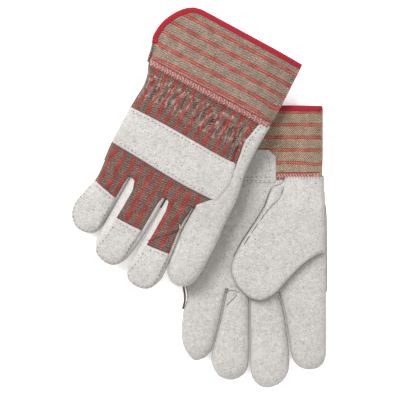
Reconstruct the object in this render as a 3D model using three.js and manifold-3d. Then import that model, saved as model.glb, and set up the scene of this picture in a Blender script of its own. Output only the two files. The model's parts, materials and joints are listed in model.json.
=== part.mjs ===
// A pair of leather-palm work gloves with striped canvas backs and safety cuffs, lying on a table.
// The left glove lies flat with its palm up and its thumb folded over the palm. The right glove
// lies palm down across it, leaning from the table up onto the left one.
// Units are millimetres and +Z is up. In a glove's own plan x runs towards the index finger and d is
// the distance from the wrist seam towards the fingertips, so the cuff has negative d.
import * as THREE from "three";
import { mergeVertices } from "three/addons/utils/BufferGeometryUtils.js";
import Module from "manifold-3d";

const wasm = await Module();
wasm.setup();

// ---- driving dimensions ----
const GAP = 0.3; // between pieces that touch on the real glove
const LEATHER = 1.3;
const CANVAS = 0.8;
const WALL_HEIGHT = 9.5; // side walls of the hand, between the canvas and the lining
const THUMB_WALL_HEIGHT = 5;
const CURVE_STEPS = 3; // points between two given points of a rounded fingertip

const CUFF_HALF_WIDTH = 65;
const CUFF_LENGTH = 65;
const CUFF_CORNER = 35; // radius of the mouth's rounded corner, on the little finger's side
const CUFF_WALL = 1.1;
const BINDING_WIDTH = 4.5;
const BINDING_END = -18; // where the binding stops on the little finger's side

const STRAP_FROM = 45;
const STRAP_TO = 84;
const STRAP_INNER_END = 53.5;
const ELASTIC_FROM = 18;
const ELASTIC_TO = 26;
const PATCH_CHAMFER = 7;

// how the right glove leans on the left one, in the table's plan
const LEAN_FOOT = -118; // where its lowest edge touches the table
const LEAN_TOP = -14; // from here on it lies level on the left glove
const LEAN_LIFT = 25.5;
const DROOP_START = 84; // from here on the cuff hangs down beyond the left glove
const DROOP_SLOPE = 0.16;

// ---- heights above the underside of a glove that lies palm up ----
const layer = (from, thickness) => ({ from, to: from + thickness });
const above = (below, thickness) => layer(below.to + GAP, thickness);
const OUTSIDE_BACK = layer(0, LEATHER); // knuckle strap, fingertip caps and side leather
const BACK = above(OUTSIDE_BACK, CANVAS);
const ELASTIC = above(BACK, CANVAS);
const WALL = above(BACK, WALL_HEIGHT);
const LINING = above(WALL, CANVAS);
const PALM = above(LINING, LEATHER);
const FINGER_WALL = layer(WALL.from, PALM.from - GAP - WALL.from);
const PATCH = above(PALM, LEATHER);
const THUMB_INNER = PATCH;
const THUMB_WALL = above(THUMB_INNER, THUMB_WALL_HEIGHT);
const THUMB_OUTER = above(THUMB_WALL, LEATHER);
const HAND_HEIGHT = PALM.to;

// ---- materials ----
const finish = (color, roughness) => new THREE.MeshStandardMaterial({ color, roughness, metalness: 0 });
const SUEDE = finish(0xd9d8d4, 0.95);
const CUFF_CLOTH = finish(0xa8897c, 0.9);
const BACK_CLOTH = finish(0x8f7468, 0.9);
const BINDING_CLOTH = finish(0xc4122b, 0.75);
const LINING_CLOTH = finish(0xe4ddcf, 0.95);
const ELASTIC_WEB = finish(0xece7dc, 0.8);

// ---- the two gloves' plans ----
// A finger is given by its outer side (towards the little finger), its rounded tip and its inner side.
// Where two fingers spread apart, the one that stays behind leaves the other room to curl past it.
const LEFT = {
  name: "left",
  palmUp: true,
  place: [49, 20.2],
  turn: 0,
  root: 118, // the fingers bend here, just past the folded thumb's tip
  outerEdge: [[-64.6, GAP], [-60, 22], [-61, 45], [-62.8, 102], [-61.5, 118]],
  innerEdge: [[65.6, GAP], [66, 17], [68.7, 39], [68.7, 118]],
  thumbShift: 0,
  fingers: {
    little: {
      outer: [[-61.5, 118], [-65.2, 130], [-65.8, 148]],
      tip: [[-62.5, 161], [-53.3, 170.6], [-44.5, 168.5]],
      inner: [[-27.3, 118], [-27.3, 125], [-37.4, 162]],
      capFrom: 128,
    },
    ring: {
      outer: [[-26.3, 118], [-26.3, 133], [-35.4, 162]],
      tip: [[-37, 172], [-31, 185], [-20.4, 189.3], [-10, 187]],
      inner: [[-3.1, 118], [-3.3, 170]],
      capFrom: 148,
    },
    middle: {
      outer: [[-2.1, 118], [-2.2, 175]],
      tip: [[2, 190], [16.5, 196.6], [27, 192.5]],
      inner: [[27.5, 118], [27.5, 133], [32.8, 157], [34.5, 176]],
      capFrom: 156,
    },
    index: {
      outer: [[28.5, 118], [28.5, 125], [34.5, 157], [36.7, 168]],
      tip: [[40.5, 175.5], [52, 180.6], [63.2, 178]],
      inner: [[68.7, 118], [68.7, 168]],
    },
  },
};
const RIGHT = {
  name: "right",
  palmUp: false,
  place: [7.6, 96.4],
  turn: THREE.MathUtils.degToRad(-28.5),
  root: 104.5,
  outerEdge: [[-62.5, GAP], [-56, 22], [-57, 45], [-57, 82], [-55.2, 104.5]],
  innerEdge: [[64.4, GAP], [63.5, 23], [65, 50], [69.5, 72], [71.2, 104.5]],
  thumbShift: -2.5,
  fingers: {
    little: {
      outer: [[-55.2, 104.5], [-55, 120], [-59, 138]],
      tip: [[-59.8, 150], [-54.5, 161], [-44, 165.2], [-33, 163.5]],
      inner: [[-26.5, 104.5], [-28, 155]],
      capFrom: 123,
    },
    ring: {
      outer: [[-25.5, 104.5], [-27, 158]],
      tip: [[-26, 172], [-20, 180], [-9, 182.3], [0, 180], [6, 172]],
      inner: [[11.1, 104.5], [9.4, 160]],
      capFrom: 141.5,
    },
    middle: {
      outer: [[12.1, 104.5], [11.3, 155]],
      tip: [[12.2, 178], [17, 186], [28, 187.3], [39, 183], [44, 175]],
      inner: [[39, 104.5], [39, 121], [43.1, 163]],
      capFrom: 149,
    },
    index: {
      outer: [[40, 104.5], [40, 121], [44.1, 161]],
      tip: [[49, 166.8], [58, 167.6], [66.5, 165.5], [71.5, 159]],
      inner: [[71.2, 104.5], [72.6, 122], [73.2, 145]],
    },
  },
};
// the thumb's edge, from the side where it is sewn to the hand, round its tip and back there
const THUMB_EDGE = [
  [65, 4], [24, 7], [15.6, 12.8], [9.8, 27.8], [-9.3, 61], [-16.7, 75], [-19.7, 87],
  [-14.4, 101], [-6, 110.7], [2.1, 115.3], [10.5, 115.3], [22.3, 107], [48, 81], [65, 71],
];
// leather that wraps from the palm over the index finger's side of the back
const SIDE_LEATHER_EDGE = [
  [55.3, GAP], [51.2, 23], [53.9, STRAP_FROM], [53.9, STRAP_TO + GAP], [46.5, 88], [41, 95],
];

// ---- shapes in plan ----
const toPlan = ([x, d]) => new THREE.Vector2(x, -d);

/** The points from a finger's root up one side, round the tip and back down the other side. */
function fingerEdge({ outer, tip, inner }, start) {
  const ends = [outer.at(-1), ...tip, inner.at(-1)].map(toPlan);
  const round = new THREE.SplineCurve(ends).getPoints(CURVE_STEPS * (ends.length - 1));
  const up = outer.slice(0, -1).map(toPlan);
  const down = inner.slice(0, -1).reverse().map(toPlan);
  const edge = [...up, ...round, ...down];
  edge[0].y = -start;
  edge.at(-1).y = -start;
  return edge;
}

/** An open line of points moved sideways, to the left of its direction when distance is positive. */
function offsetLine(points, distance) {
  return points.map((point, i) => {
    const before = points[Math.max(i - 1, 0)];
    const after = points[Math.min(i + 1, points.length - 1)];
    const along = after.clone().sub(before).normalize();
    return new THREE.Vector2(point.x - along.y * distance, point.y + along.x * distance);
  });
}

/** A strip of even width beside a line of points. */
const ribbon = (points, width) => [...points, ...offsetLine(points, width).reverse()];

/** The part of an outline that lies beyond the distance d. */
function beyond(outline, d) {
  const kept = [];
  outline.forEach((point, i) => {
    const next = outline[(i + 1) % outline.length];
    const [here, there] = [-point.y - d, -next.y - d];
    if (here >= 0) kept.push(point);
    if (here * there < 0) kept.push(point.clone().lerp(next, here / (here - there)));
  });
  return kept;
}

/** The cuff's outline, inset from its mouth and its bound side. */
function cuffEdge(inset, sideEnd) {
  const corner = new THREE.Vector2(CUFF_CORNER - CUFF_HALF_WIDTH, CUFF_LENGTH - CUFF_CORNER);
  const arc = new THREE.EllipseCurve(
    corner.x, corner.y, CUFF_CORNER - inset, CUFF_CORNER - inset, Math.PI / 2, Math.PI, false,
  );
  const mouth = new THREE.Vector2(CUFF_HALF_WIDTH, CUFF_LENGTH - inset);
  return [mouth, ...arc.getPoints(8), new THREE.Vector2(inset - CUFF_HALF_WIDTH, sideEnd)];
}

// ---- solids ----
/** A flat piece with the given outline, filling one layer. */
function plate(outline, { from, to }) {
  const shape = new THREE.Shape(outline);
  const solid = new THREE.ExtrudeGeometry(shape, { depth: to - from, bevelEnabled: false });
  return solid.translate(0, 0, from);
}

function toManifold(geometry) {
  const bare = geometry.clone();
  bare.deleteAttribute("normal");
  bare.deleteAttribute("uv");
  const merged = mergeVertices(bare);
  const triVerts = Uint32Array.from(merged.index.array);
  const vertProperties = Float32Array.from(merged.attributes.position.array);
  return new wasm.Manifold(new wasm.Mesh({ numProp: 3, vertProperties, triVerts }));
}

function fromManifold(solid) {
  const { vertProperties, triVerts } = solid.getMesh();
  const geometry = new THREE.BufferGeometry();
  geometry.setAttribute("position", new THREE.BufferAttribute(vertProperties, 3));
  geometry.setIndex(new THREE.BufferAttribute(triVerts, 1));
  return geometry.toNonIndexed();
}

/** A flat sleeve: a block with the given outline, with its inside cut away from end to end. */
function sleeve(outline) {
  const inside = CUFF_HALF_WIDTH - CUFF_WALL;
  const hollow = new THREE.BoxGeometry(2 * inside, 2 * CUFF_LENGTH, HAND_HEIGHT - 2 * CUFF_WALL);
  hollow.translate(0, CUFF_LENGTH / 2, HAND_HEIGHT / 2);
  const block = plate(outline, { from: 0, to: HAND_HEIGHT });
  return fromManifold(toManifold(block).subtract(toManifold(hollow)));
}

/** Cuts each triangle that a plane crosses, so the surface can be bent along that plane. */
function cutAlong(geometry, plane) {
  const source = geometry.index ? geometry.toNonIndexed() : geometry;
  const positions = source.attributes.position;
  const corner = (i) => new THREE.Vector3().fromBufferAttribute(positions, i);
  const output = [];
  for (let i = 0; i < positions.count; i += 3) {
    const corners = [corner(i), corner(i + 1), corner(i + 2)];
    for (const side of [1, -1]) {
      const kept = [];
      corners.forEach((point, n) => {
        const next = corners[(n + 1) % 3];
        const here = side * plane.distanceToPoint(point);
        const there = side * plane.distanceToPoint(next);
        if (here > 0 || (here === 0 && side === 1)) kept.push(point);
        if (here * there < 0) kept.push(crossing(point, next, plane));
      });
      for (let n = 1; n + 1 < kept.length; n += 1) output.push(kept[0], kept[n], kept[n + 1]);
    }
  }
  return new THREE.BufferGeometry().setFromPoints(output);
}

/** Where an edge meets a plane, the same whichever way round the edge is given. */
function crossing(a, b, plane) {
  const [from, to] = plane.distanceToPoint(a) < 0 ? [a, b] : [b, a];
  const low = plane.distanceToPoint(from);
  const high = plane.distanceToPoint(to);
  return from.clone().lerp(to, low / (low - high));
}

/** Bends a piece of the right glove so that it leans from the table onto the left glove. */
function lean(geometry, { place, turn }) {
  const [cos, sin] = [Math.cos(turn), Math.sin(turn)];
  const acrossTable = new THREE.Vector3(cos, -sin, 0);
  const upTable = new THREE.Vector3(sin, cos, 0);
  let bent = cutAlong(geometry, new THREE.Plane(acrossTable, place[0] - LEAN_TOP));
  bent = cutAlong(bent, new THREE.Plane(upTable, place[1] - DROOP_START));
  const positions = bent.attributes.position;
  const slope = LEAN_LIFT / (LEAN_TOP - LEAN_FOOT);
  const point = new THREE.Vector3();
  for (let i = 0; i < positions.count; i += 1) {
    point.fromBufferAttribute(positions, i);
    const x = place[0] + acrossTable.dot(point);
    const y = place[1] + upTable.dot(point);
    const rise = Math.min(LEAN_LIFT, slope * (x - LEAN_FOOT));
    const droop = DROOP_SLOPE * Math.max(0, y - DROOP_START);
    positions.setZ(i, point.z + rise - droop);
  }
  return bent;
}

// ---- one glove ----
function makeGlove(glove) {
  const group = new THREE.Group();
  group.position.set(...glove.place, 0);
  group.rotation.z = glove.turn;

  const add = (part, geometry, material) => {
    const solid = glove.palmUp ? geometry : lean(geometry, glove);
    const mesh = new THREE.Mesh(solid, material);
    mesh.name = `${glove.name}_${part}`;
    group.add(mesh);
  };
  // a layer's place in this glove: the stack is turned over when the glove lies palm down
  const at = ({ from, to }) => {
    return glove.palmUp ? { from, to } : { from: HAND_HEIGHT - to, to: HAND_HEIGHT - from };
  };

  addCuff(add, at);
  addHand(add, at, glove);
  for (const [name, finger] of Object.entries(glove.fingers)) {
    addFinger(add, at, name, finger, glove.root + 2 * GAP);
  }
  addThumb(add, at, glove.thumbShift);
  return group;
}

function addCuff(add, at) {
  const bound = cuffEdge(BINDING_WIDTH + GAP, -BINDING_END);
  const side = [
    new THREE.Vector2(-CUFF_HALF_WIDTH, -BINDING_END - GAP),
    new THREE.Vector2(-CUFF_HALF_WIDTH, 0),
    new THREE.Vector2(CUFF_HALF_WIDTH, 0),
  ];
  bound.at(-1).y -= GAP;
  add("cuff_canvas", sleeve([...bound, ...side]), CUFF_CLOTH);

  const outer = cuffEdge(0, -BINDING_END);
  const inner = cuffEdge(BINDING_WIDTH, -BINDING_END);
  add("cuff_binding", sleeve([...outer, ...inner.reverse()]), BINDING_CLOTH);

  const patch = [
    [-16, -18], [-9, -25], [22 - PATCH_CHAMFER, -25], [22, -25 + PATCH_CHAMFER],
    [22, 1], [-16, 1],
  ];
  add("vein_patch", plate(patch.map(toPlan), at(PATCH)), SUEDE);
}

function addHand(add, at, { outerEdge, innerEdge, root }) {
  const outer = outerEdge.map(toPlan);
  const inner = innerEdge.map(toPlan);
  const whole = [...outer, ...[...inner].reverse()];
  const insideOuter = offsetLine(outer, 2 * LEATHER);
  const insideInner = offsetLine(inner, -2 * LEATHER);
  add("palm_leather", plate(whole, at(PALM)), SUEDE);
  add("palm_lining", plate([...insideOuter, ...insideInner.reverse()], at(LINING)), LINING_CLOTH);
  add("back_canvas", plate(whole, at(BACK)), BACK_CLOTH);
  add("outer_side_wall", plate(ribbon(outer, LEATHER), at(WALL)), SUEDE);
  add("thumb_side_wall", plate(ribbon(inner, -LEATHER), at(WALL)), SUEDE);

  const elastic = [
    [-STRAP_INNER_END, ELASTIC_FROM], [-STRAP_INNER_END, ELASTIC_TO], [STRAP_INNER_END, ELASTIC_TO],
    [STRAP_INNER_END, ELASTIC_FROM],
  ];
  add("wrist_elastic", plate(elastic.map(toPlan), at(ELASTIC)), ELASTIC_WEB);

  const strap = [
    [-57, STRAP_FROM], [-57, STRAP_TO], [STRAP_INNER_END, STRAP_TO], [STRAP_INNER_END, STRAP_FROM],
  ];
  add("knuckle_strap", plate(strap.map(toPlan), at(OUTSIDE_BACK)), SUEDE);

  const reach = [...SIDE_LEATHER_EDGE, [41, root]].map(toPlan);
  const side = [...reach, ...[...inner].reverse()];
  add("side_leather", plate(side, at(OUTSIDE_BACK)), SUEDE);
}

function addFinger(add, at, name, finger, start) {
  const edge = fingerEdge(finger, start);
  add(`${name}_front`, plate(edge, at(PALM)), SUEDE);
  add(`${name}_fourchette`, plate(ribbon(edge, LEATHER), at(FINGER_WALL)), SUEDE);
  const hasCap = finger.capFrom !== undefined;
  add(`${name}_back`, plate(edge, at(BACK)), hasCap ? BACK_CLOTH : SUEDE);
  if (hasCap) add(`${name}_cap`, plate(beyond(edge, finger.capFrom), at(OUTSIDE_BACK)), SUEDE);
}

function addThumb(add, at, shift) {
  const moved = ([x, d]) => toPlan([x + shift, d]);
  const edge = THUMB_EDGE.map(moved);
  add("thumb_inner", plate(edge, at(THUMB_INNER)), SUEDE);
  add("thumb_wall", plate(ribbon(edge, LEATHER), at(THUMB_WALL)), SUEDE);
  add("thumb_outer", plate(edge, at(THUMB_OUTER)), SUEDE);
}

// ---- the pair, with its origin at the middle of its underside ----
const pair = new THREE.Group();
pair.add(makeGlove(LEFT), makeGlove(RIGHT));
const extent = new THREE.Box3().setFromObject(pair, true);
const middle = extent.getCenter(new THREE.Vector3());
pair.position.set(-middle.x, -middle.y, -extent.min.z);

export default pair;
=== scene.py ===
"""A pair of leather-palm work gloves with striped canvas backs and bound safety cuffs.

Every panel is cut as a flat pattern, laid on the puffed surface of its glove and given its own
thickness. Lengths in this script are millimetres until a mesh is made, and metres from there on.
In a glove's own plan x runs towards the index finger and d from the wrist seam to the fingertips.
"""

import functools
import json
import math

import bpy
import numpy as np
from bpy.props import FloatProperty, FloatVectorProperty, PointerProperty
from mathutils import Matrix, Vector
from mathutils.geometry import delaunay_2d_cdt


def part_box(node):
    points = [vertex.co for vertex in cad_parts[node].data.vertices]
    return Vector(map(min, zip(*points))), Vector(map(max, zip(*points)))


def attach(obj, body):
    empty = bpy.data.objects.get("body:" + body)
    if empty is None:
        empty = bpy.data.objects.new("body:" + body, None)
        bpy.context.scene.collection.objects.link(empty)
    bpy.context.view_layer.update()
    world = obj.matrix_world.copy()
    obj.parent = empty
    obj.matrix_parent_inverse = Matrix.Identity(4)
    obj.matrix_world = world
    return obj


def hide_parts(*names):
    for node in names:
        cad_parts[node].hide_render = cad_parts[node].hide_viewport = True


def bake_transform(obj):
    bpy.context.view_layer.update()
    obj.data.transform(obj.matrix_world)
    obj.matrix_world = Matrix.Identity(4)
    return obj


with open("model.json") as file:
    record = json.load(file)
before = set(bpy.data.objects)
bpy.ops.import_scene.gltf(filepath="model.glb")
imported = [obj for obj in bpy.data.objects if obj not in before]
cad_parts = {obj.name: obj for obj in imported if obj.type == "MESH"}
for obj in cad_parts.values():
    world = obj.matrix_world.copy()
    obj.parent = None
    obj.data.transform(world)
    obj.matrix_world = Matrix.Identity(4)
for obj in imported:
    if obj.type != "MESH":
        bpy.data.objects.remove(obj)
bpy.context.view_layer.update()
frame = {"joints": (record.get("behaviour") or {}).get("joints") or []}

bl_info = {
    "name": "Work gloves",
    "version": (1, 0, 0),
    "blender": (4, 5, 0),
    "location": "View3D > Sidebar > Gloves",
    "description": "Builds a pair of leather-palm work gloves around their packed frame",
    "category": "Object",
}

MM = 0.001
FINGERS = ("little", "ring", "middle", "index")

# ---- dimensions, mm ----
HALF_HEIGHT = 7.0  # half the height that a hand puffs up to
THUMB_HALF = 4.0
THUMB_GAP = 0.8  # between a thumb and the palm that it lies on
EDGE_RADIUS = 3.2  # rounding of a hand's side seams
UNDER_LEATHER = 1.4  # the left glove's strap and caps lie under its canvas
CUFF_HALF = 65.0
CUFF_EXTENT = 110.0  # how far the film carries on past the wrist, so that the cuff doesn't pinch it
CUFF_OPEN = 11.5  # the mouth's height
CUFF_SEWN = -20.0  # the little finger's side of a cuff is open beyond this
CUFF_SHUT = -17.5  # and its tape starts here
LEFT_HINGE_D = 118.3  # where the fingers' hinges cross each plan
RIGHT_HINGE_D = 104.8
THUMB_HINGE = (69.8, 37.5)
RAIL_SPACING = 1.2  # along a swept piece
RINGS = (0.3, 0.8, 1.7)  # a panel's rows of points beside its edge
SKIN = 3.0  # the film's slope is read this far in from an edge

# the right glove leans on the left one: it rises from the foot to the top, and droops past the edge
LEAN_FOOT = -118.0
LEAN_TOP = -14.0
LEAN_LIFT = 25.5
LEAN_SOFT = 2.5
DROOP_START = 86.2
DROOP_SLOPE = 0.16
DROOP_SOFT = 8.0

# the thumb's outline, and the seam of the roll along its inner edge
THUMB_EDGE = [
    (66, 0.9), (48, 0.9), (31.5, 1.1), (29.6, 4.6), (26.4, 7.9), (22.4, 9.4), (18.7, 11.2), (16.4, 15.2),
    (13.8, 22.5), (11.4, 28.6), (4.4, 40.5), (-1.7, 49.6), (-9.3, 61), (-16.7, 75), (-19.7, 87), (-14.8, 101),
    (-6, 110.7), (2.1, 115.2), (11, 114.8), (22.3, 107.5), (36.5, 92), (48, 81), (58.8, 73.8), (67, 71),
]
THUMB_SEAM = [(30.2, 4.5), (27.8, 14.5), (24.2, 21.6), (17.2, 28.6), (6.0, 42.4), (-8.5, 64.3)]
# a painted shadow strip runs along the thumb's fold
THUMB_FOLD_SHADOW = [(17.4, 12.2), (15.4, 16.5), (13.2, 22.5), (10.9, 28.6), (3.9, 40.5), (-2.2, 49.6), (-9.8, 61),
              (-17.2, 75)]

# small folds and hems that show beside the pieces sewn on top: most are dark strips of painted shadow where
# shade falls, and LITTLE_HEM is a strip of the canvas
BACK_SHADOW_LINES = ([(49.6, 24), (51.2, 31), (52.6, 38), (53.6, 45.5)], [(47.4, 27), (46.6, 34), (47.6, 41)],
              [(-12, 4.7), (4, 5.1), (21, 4.7)], [(-54.5, 83.4), (-20, 84.9), (20, 86.5), (53, 85.6)])
RING_CREASE_SHADOWS = ([(-25, 109), (-21, 106.4), (-15, 107.2)], [(-24.6, 121), (-20.5, 117), (-14.5, 110.5)])
MIDDLE_FOLD_SHADOW = [(16.5, 146), (26, 137), (36, 122.5)]
LITTLE_HEM = [(-62.9, 99), (-64.2, 103.5), (-63.3, 110), (-63.2, 117), (-65, 124)]
# where a painted shadow strip runs below each cap's hem, as fractions along it
CAP_HEM_SHADOWS = {"little": (0.1, 0.75), "ring": (0.1, 0.62), "middle": (0.05, 0.98)}  # parts of each cap's hem

# cross-sections of the narrow pieces: across the line and above the surface
GAP_LINE = [(-0.9, 0.0), (-0.7, 0.8), (0.4, 1.0), (0.9, 0.6), (0.9, 0.0)]
CREASE_LINE = [(-0.5, 0.3), (-0.35, 0.95), (0.35, 0.95), (0.5, 0.3)]
HEM = [(1.0, -1.0), (1.0, 4.0), (0.1, 5.2), (-0.9, 4.0), (-0.9, -1.0)]
FOLD_LINE = [(-0.65, 0.0), (-0.4, 0.7), (0.4, 0.7), (0.65, 0.0)]
SEAM_LINE = [(-0.28, -0.2), (-0.16, 0.42), (0.16, 0.42), (0.28, -0.2)]
WELT = [(0.9, -0.5), (0.9, 0.3), (0.2, 0.6), (-0.5, 0.45), (-0.8, 0), (-0.5, -0.6), (0.2, -0.8)]
WRIST_BAND = [(-2.9, -0.5), (-2.4, 0.8), (-1.0, 1.7), (0.8, 1.9), (2.3, 1.2), (2.9, -0.5)]


# ---- lines in plan ----
def smooth_line(points, spacing=1.5):
    """A smooth line through the given points, with a point about every spacing."""
    p = np.array(points, float)
    if len(p) < 3:
        return resample(p, spacing)
    ends = np.vstack([2 * p[0] - p[1], p, 2 * p[-1] - p[-2]])
    t = np.linspace(0, 1, 12, endpoint=False)[:, None]
    runs = []
    for a, b, c, e in zip(ends, ends[1:], ends[2:], ends[3:]):
        runs.append(0.5 * (2 * b + (c - a) * t + (2 * a - 5 * b + 4 * c - e) * t**2
                           + (3 * b - a - 3 * c + e) * t**3))
    return resample(np.vstack([*runs, p[-1:]]), spacing)


def resample(line, spacing):
    """The same line with evenly spaced points, its ends kept."""
    line = np.asarray(line, float)
    along = np.concatenate([[0], np.cumsum(np.linalg.norm(np.diff(line, axis=0), axis=1))])
    count = max(2, round(along[-1] / spacing) + 1)
    at = np.linspace(0, along[-1], count)
    return np.column_stack([np.interp(at, along, line[:, k]) for k in range(line.shape[1])])


def ccw(loop):
    """The same outline, anticlockwise."""
    area = np.sum(loop[:, 0] * np.roll(loop[:, 1], -1) - np.roll(loop[:, 0], -1) * loop[:, 1])
    return loop if area > 0 else loop[::-1]


def outline(*runs):
    """A closed outline from runs of points: each run is smooth, and corners are where runs meet."""
    loop = np.vstack([smooth_line(run) for run in runs])
    gap = np.linalg.norm(loop - np.roll(loop, 1, axis=0), axis=1)
    return ccw(loop[gap > 0.02])


def distance(points, lines, reach=25.0):
    """Each point's distance to the nearest of several lines, up to reach, and the nearest point."""
    best = np.full(len(points), reach)
    near = points + [reach, 0.0]
    if not len(points):
        return best, near
    low, high = points.min(0) - reach, points.max(0) + reach
    for line in lines:
        starts, ends = line[:-1], line[1:]
        close = np.all((np.maximum(starts, ends) > low) & (np.minimum(starts, ends) < high), axis=1)
        for a, b in zip(starts[close], ends[close]):
            ab = b - a
            t = np.clip(((points - a) @ ab) / max(ab @ ab, 1e-12), 0, 1)
            foot = a + t[:, None] * ab
            gap = points - foot
            away = np.sqrt(gap[:, 0] ** 2 + gap[:, 1] ** 2)
            closer = away < best
            best[closer] = away[closer]
            near[closer] = foot[closer]
    return best, near


def inside(points, loop):
    """Whether each point is inside a closed outline."""
    x, y = points[:, 0], points[:, 1]
    found = np.zeros(len(points), bool)
    for (ax, ay), (bx, by) in zip(loop, np.roll(loop, -1, axis=0)):
        if ay == by:
            continue
        crosses = (ay > y) != (by > y)
        found ^= crosses & (x < (bx - ax) * (y - ay) / (by - ay) + ax)
    return found


def closed(loop):
    """An outline as a line that comes back to its start."""
    return np.vstack([loop, loop[:1]])


# ---- the two patterns ----
class Pattern:
    """One glove's cut and how it lies. Points are (x, d) in the glove's own plan."""

    def __init__(self, name, palm_up, shapes):
        self.name = name
        self.palm_up = palm_up
        self.shapes = shapes
        self.hand = f"{name}_hand"
        self.outer = smooth_line(shapes["outer_edge"])
        self.inner = smooth_line(shapes["inner_edge"])
        self.root = shapes["root"]
        self.fingers = {n: smooth_line(shapes[n]) for n in FINGERS}
        self.free_edges = [self.outer, self.inner, *self.fingers.values()]
        sewn = [p for p in shapes["cuff_side"] if p[1] > CUFF_SEWN]
        self.cuff_edges = [np.array(sewn, float), np.array([(CUFF_HALF + 0.3, 0), (CUFF_HALF, -70)])]
        loops = [closed(line) for line in self.fingers.values()]
        body = [[(-CUFF_HALF, -CUFF_EXTENT)], self.outer, self.root, self.inner[::-1],
                [(CUFF_HALF, -CUFF_EXTENT)]]
        self.puff = Film([np.vstack(body), *loops], self.free_edges)
        thumb = smooth_line([(x + shapes["thumb_shift"], d) for x, d in THUMB_EDGE])
        self.thumb = outline(thumb, thumb[[-1, 0]])
        self.thumb_puff = Film([closed(self.thumb)], [closed(self.thumb)])
        self.place()

    def place(self):
        """Where the wrist's middle is and which way the fingers point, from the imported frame."""
        if self.palm_up:
            low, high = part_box("left_cuff_canvas")
            hinge = joint_place("left_middle_curl")
            self.right = np.array([1.0, 0.0])
            self.wrist = np.array([(low.x + high.x) / 2 / MM, hinge[1] + LEFT_HINGE_D])
            self.level = UNDER_LEATHER
        else:
            axis = np.array(joint("right_ring_bend")["axis"], float)
            self.right = -axis[:2] / np.hypot(*axis[:2])
            drop = joint_place("right_thumb_drop")[:2]
            self.wrist = drop - THUMB_HINGE[0] * self.right - THUMB_HINGE[1] * self.towards_tips()
            self.level = 0.0
        self.hinge_d = LEFT_HINGE_D if self.palm_up else RIGHT_HINGE_D

    def towards_tips(self):
        """The direction of d on the table."""
        return np.array([self.right[1], -self.right[0]])

    def to_table(self, p, z):
        """Points of the plan and heights above the glove's underside, as places in metres."""
        flat = self.wrist + p[:, :1] * self.right + p[:, 1:2] * self.towards_tips()
        z = z + self.level
        if not self.palm_up:
            z = z + lean(flat)
        return np.column_stack([flat, z]) * MM

    def spot(self, x, d, z=HALF_HEIGHT):
        """One point of the plan as a place in metres."""
        return tuple(self.to_table(np.array([[x, d]], float), np.array([z]))[0])

    # -- the puffed surface --
    def reach(self, p):
        """Distances to the hand's edges, with the nearest points there, and to the cuff's sides."""
        away, near = distance(p, self.free_edges)
        side = distance(p, self.cuff_edges, 60.0)[0]
        return away, near, side, np.where(p[:, 1] < 0, side, away)

    def rounded(self, p, edge):
        """The rise of a rounded side seam, a little uneven."""
        away = np.clip(edge, 0, EDGE_RADIUS)
        corner = EDGE_RADIUS - np.sqrt(EDGE_RADIUS**2 - (EDGE_RADIUS - away) ** 2)
        return corner + 0.2 + 0.2 * lumps(p, 14, 31)

    def lower(self, p):
        """Height of the side that faces down, pressed flat but for its rounded edges."""
        return self.rounded(p, self.reach(p)[3])

    def upper(self, p):
        """Height of the side that faces up: the hand is as thick as its film says, and the stiff
        cuff opens towards its mouth."""
        away, near, side, edge = self.reach(p)
        hand = 2 * HALF_HEIGHT * (1 - np.exp(-self.puff.radius(p, away, near) / HALF_HEIGHT))
        fall = 2 + 4 * smooth_step(-p[:, 1] / 9)
        hand = np.where(p[:, 1] < 0, hand * (1 - np.exp(-side / fall)), hand)
        cuff = CUFF_OPEN * (1 - np.exp(-side / 9.0)) * np.minimum(1, 0.55 + side / 60)
        t = smooth_step((p[:, 1] + 20) / 20)
        thick = cuff * (1 - t) + hand * t
        return self.rounded(p, edge) + thick + np.clip(edge / 6, 0, 1) * self.shapes["relief"](p)

    def surface(self, side):
        """The palm's or the back's surface of heights and the way that it faces: 1 is up."""
        up = (side == "palm") == self.palm_up
        return (self.upper, 1) if up else (self.lower, -1)

    def thumb_surfaces(self):
        """The thumb's side against the palm and its outer side, with the way that each faces."""
        film, edge = self.thumb_puff, [closed(self.thumb)]

        def thickness(p):
            return 2 * THUMB_HALF * (1 - np.exp(-film.radius(p, *distance(p, edge)) / THUMB_HALF))

        if self.palm_up:
            def base(p):
                past = smooth_step((p[:, 1] - 84) / 12)
                return self.upper(p) * (1 - past) + (2 * HALF_HEIGHT + 0.6) * past + THUMB_GAP

            def outer(p):
                near_edge = np.clip(distance(p, edge)[0] / 3, 0, 1)
                seam = bump(p, THUMB_SEAM, 1.0) - 1.2 * bump(p, [(18.6, 15.6), (21, 13.4), (25.4, 14)], 2.8)
                rolls = 0.9 * lumps(p, 22, 5) + 0.3 * lumps(p, 8, 6)
                rise = 0.1 + 0.9 * smooth_step((p[:, 1] + 2) / 40)
                return base(p) + thickness(p) * rise + near_edge * (rolls * rise - 1.5 * seam)
            return (base, -1), (outer, 1)

        def base(p):
            return self.lower(p) - THUMB_GAP

        def outer(p):
            return base(p) - 0.86 * thickness(p)
        return (base, 1), (outer, -1)


def joint(name):
    """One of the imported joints."""
    return next(j for j in frame["joints"] if j["name"] == name)


def joint_place(name):
    """A joint's place in millimetres."""
    return np.array(joint(name)["pos_m"], float) / MM


def smooth_step(t):
    """Goes smoothly from 0 to 1 as t does."""
    t = np.clip(t, 0, 1)
    return t * t * (3 - 2 * t)


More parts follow.
